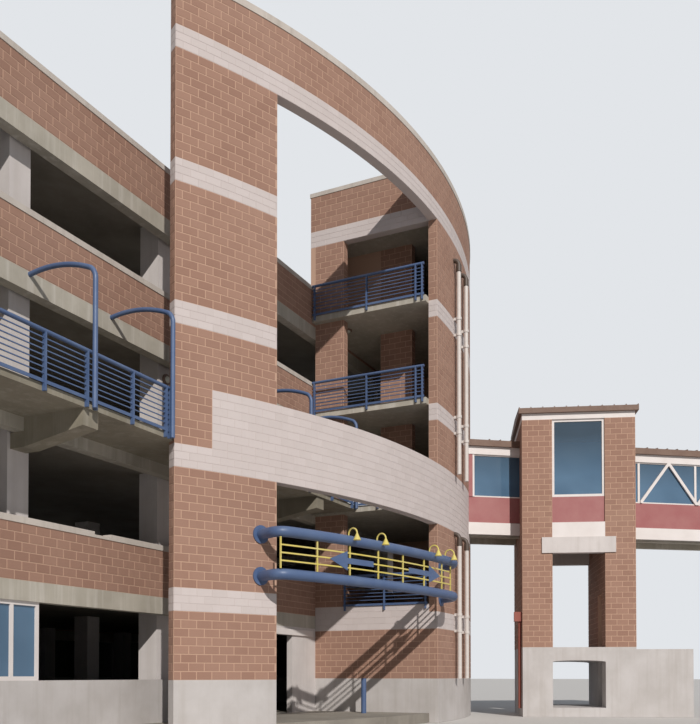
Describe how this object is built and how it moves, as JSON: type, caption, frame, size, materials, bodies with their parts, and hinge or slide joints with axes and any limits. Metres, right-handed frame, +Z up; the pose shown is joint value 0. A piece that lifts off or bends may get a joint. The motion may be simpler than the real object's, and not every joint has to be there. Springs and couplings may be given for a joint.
{
  "type": "multi storey car park",
  "caption": "Multi storey car park with a parking wing, balcony, curved block screen over an entrance court, stair tower, tubular sign frame and covered footbridge.",
  "frame": {"origin": "on the ground at the corner where the plane of the wing's long front meets the stair tower's face", "axes": "+X along the wing towards the footbridge, +Y into the wing away from the front, +Z up"},
  "size_m": [39.4122, 31.0087, 18.3882],
  "materials": {
    "concrete": "matte",
    "white_concrete": "matte",
    "red_block": "matte",
    "pale_block": "matte",
    "cast_stone": "matte",
    "blue_paint": "satin",
    "yellow_paint": "satin",
    "white_paint": "satin",
    "blue_glass": "gloss",
    "red_panel": "satin",
    "brown_roof": "satin",
    "red_paint": "satin"
  },
  "bodies": {
    "root": {"balcony_brackets": "concrete", "balcony_hoops": "blue_paint", "balcony_railing": "blue_paint", "balcony_slab": "concrete", "bollard": "blue_paint", "bridge_beams": "white_paint", "bridge_fascias": "white_paint", "bridge_floors": "concrete", "bridge_glass": "blue_glass", "bridge_low_wall": "red_block", "bridge_panels": "red_panel", "bridge_roofs": "brown_roof", "bridge_tower_base": "concrete", "bridge_tower_lintels": "white_concrete", "bridge_tower_walls": "red_block", "bridge_window_frames": "white_paint", "columns": "white_concrete", "corner_column": "white_concrete", "decks": "concrete", "downpipe": "red_paint", "entrance_strip": "white_paint", "entrance_wall": "red_block", "front_base_wall": "concrete", "front_beams": "concrete", "front_block_walls": "red_block", "front_copings": "cast_stone", "ground_slabs": "concrete", "rear_base_walls": "concrete", "rear_beams": "concrete", "rear_block_walls": "red_block", "rear_copings": "cast_stone", "screen_bands": "pale_block", "screen_base": "concrete", "screen_coping": "cast_stone", "screen_left_blocks": "red_block", "screen_mid_band": "pale_block", "screen_parapet": "red_block", "screen_right_blocks": "red_block", "screen_top_band": "pale_block", "sign_grille": "yellow_paint", "sign_lamps": "yellow_paint", "sign_tubes": "blue_paint", "tower_base": "concrete", "tower_copings": "cast_stone", "tower_front_bands": "pale_block", "tower_front_blocks": "red_block", "tower_inner_piers": "pale_block", "tower_railings": "blue_paint", "tower_rear_wall": "red_block", "tower_side_walls": "red_block", "tower_slabs": "concrete", "walkway_truss": "white_paint", "white_pipes": "white_paint", "window_frames": "white_paint", "window_glass": "blue_glass"}
  },
  "joints": []
}
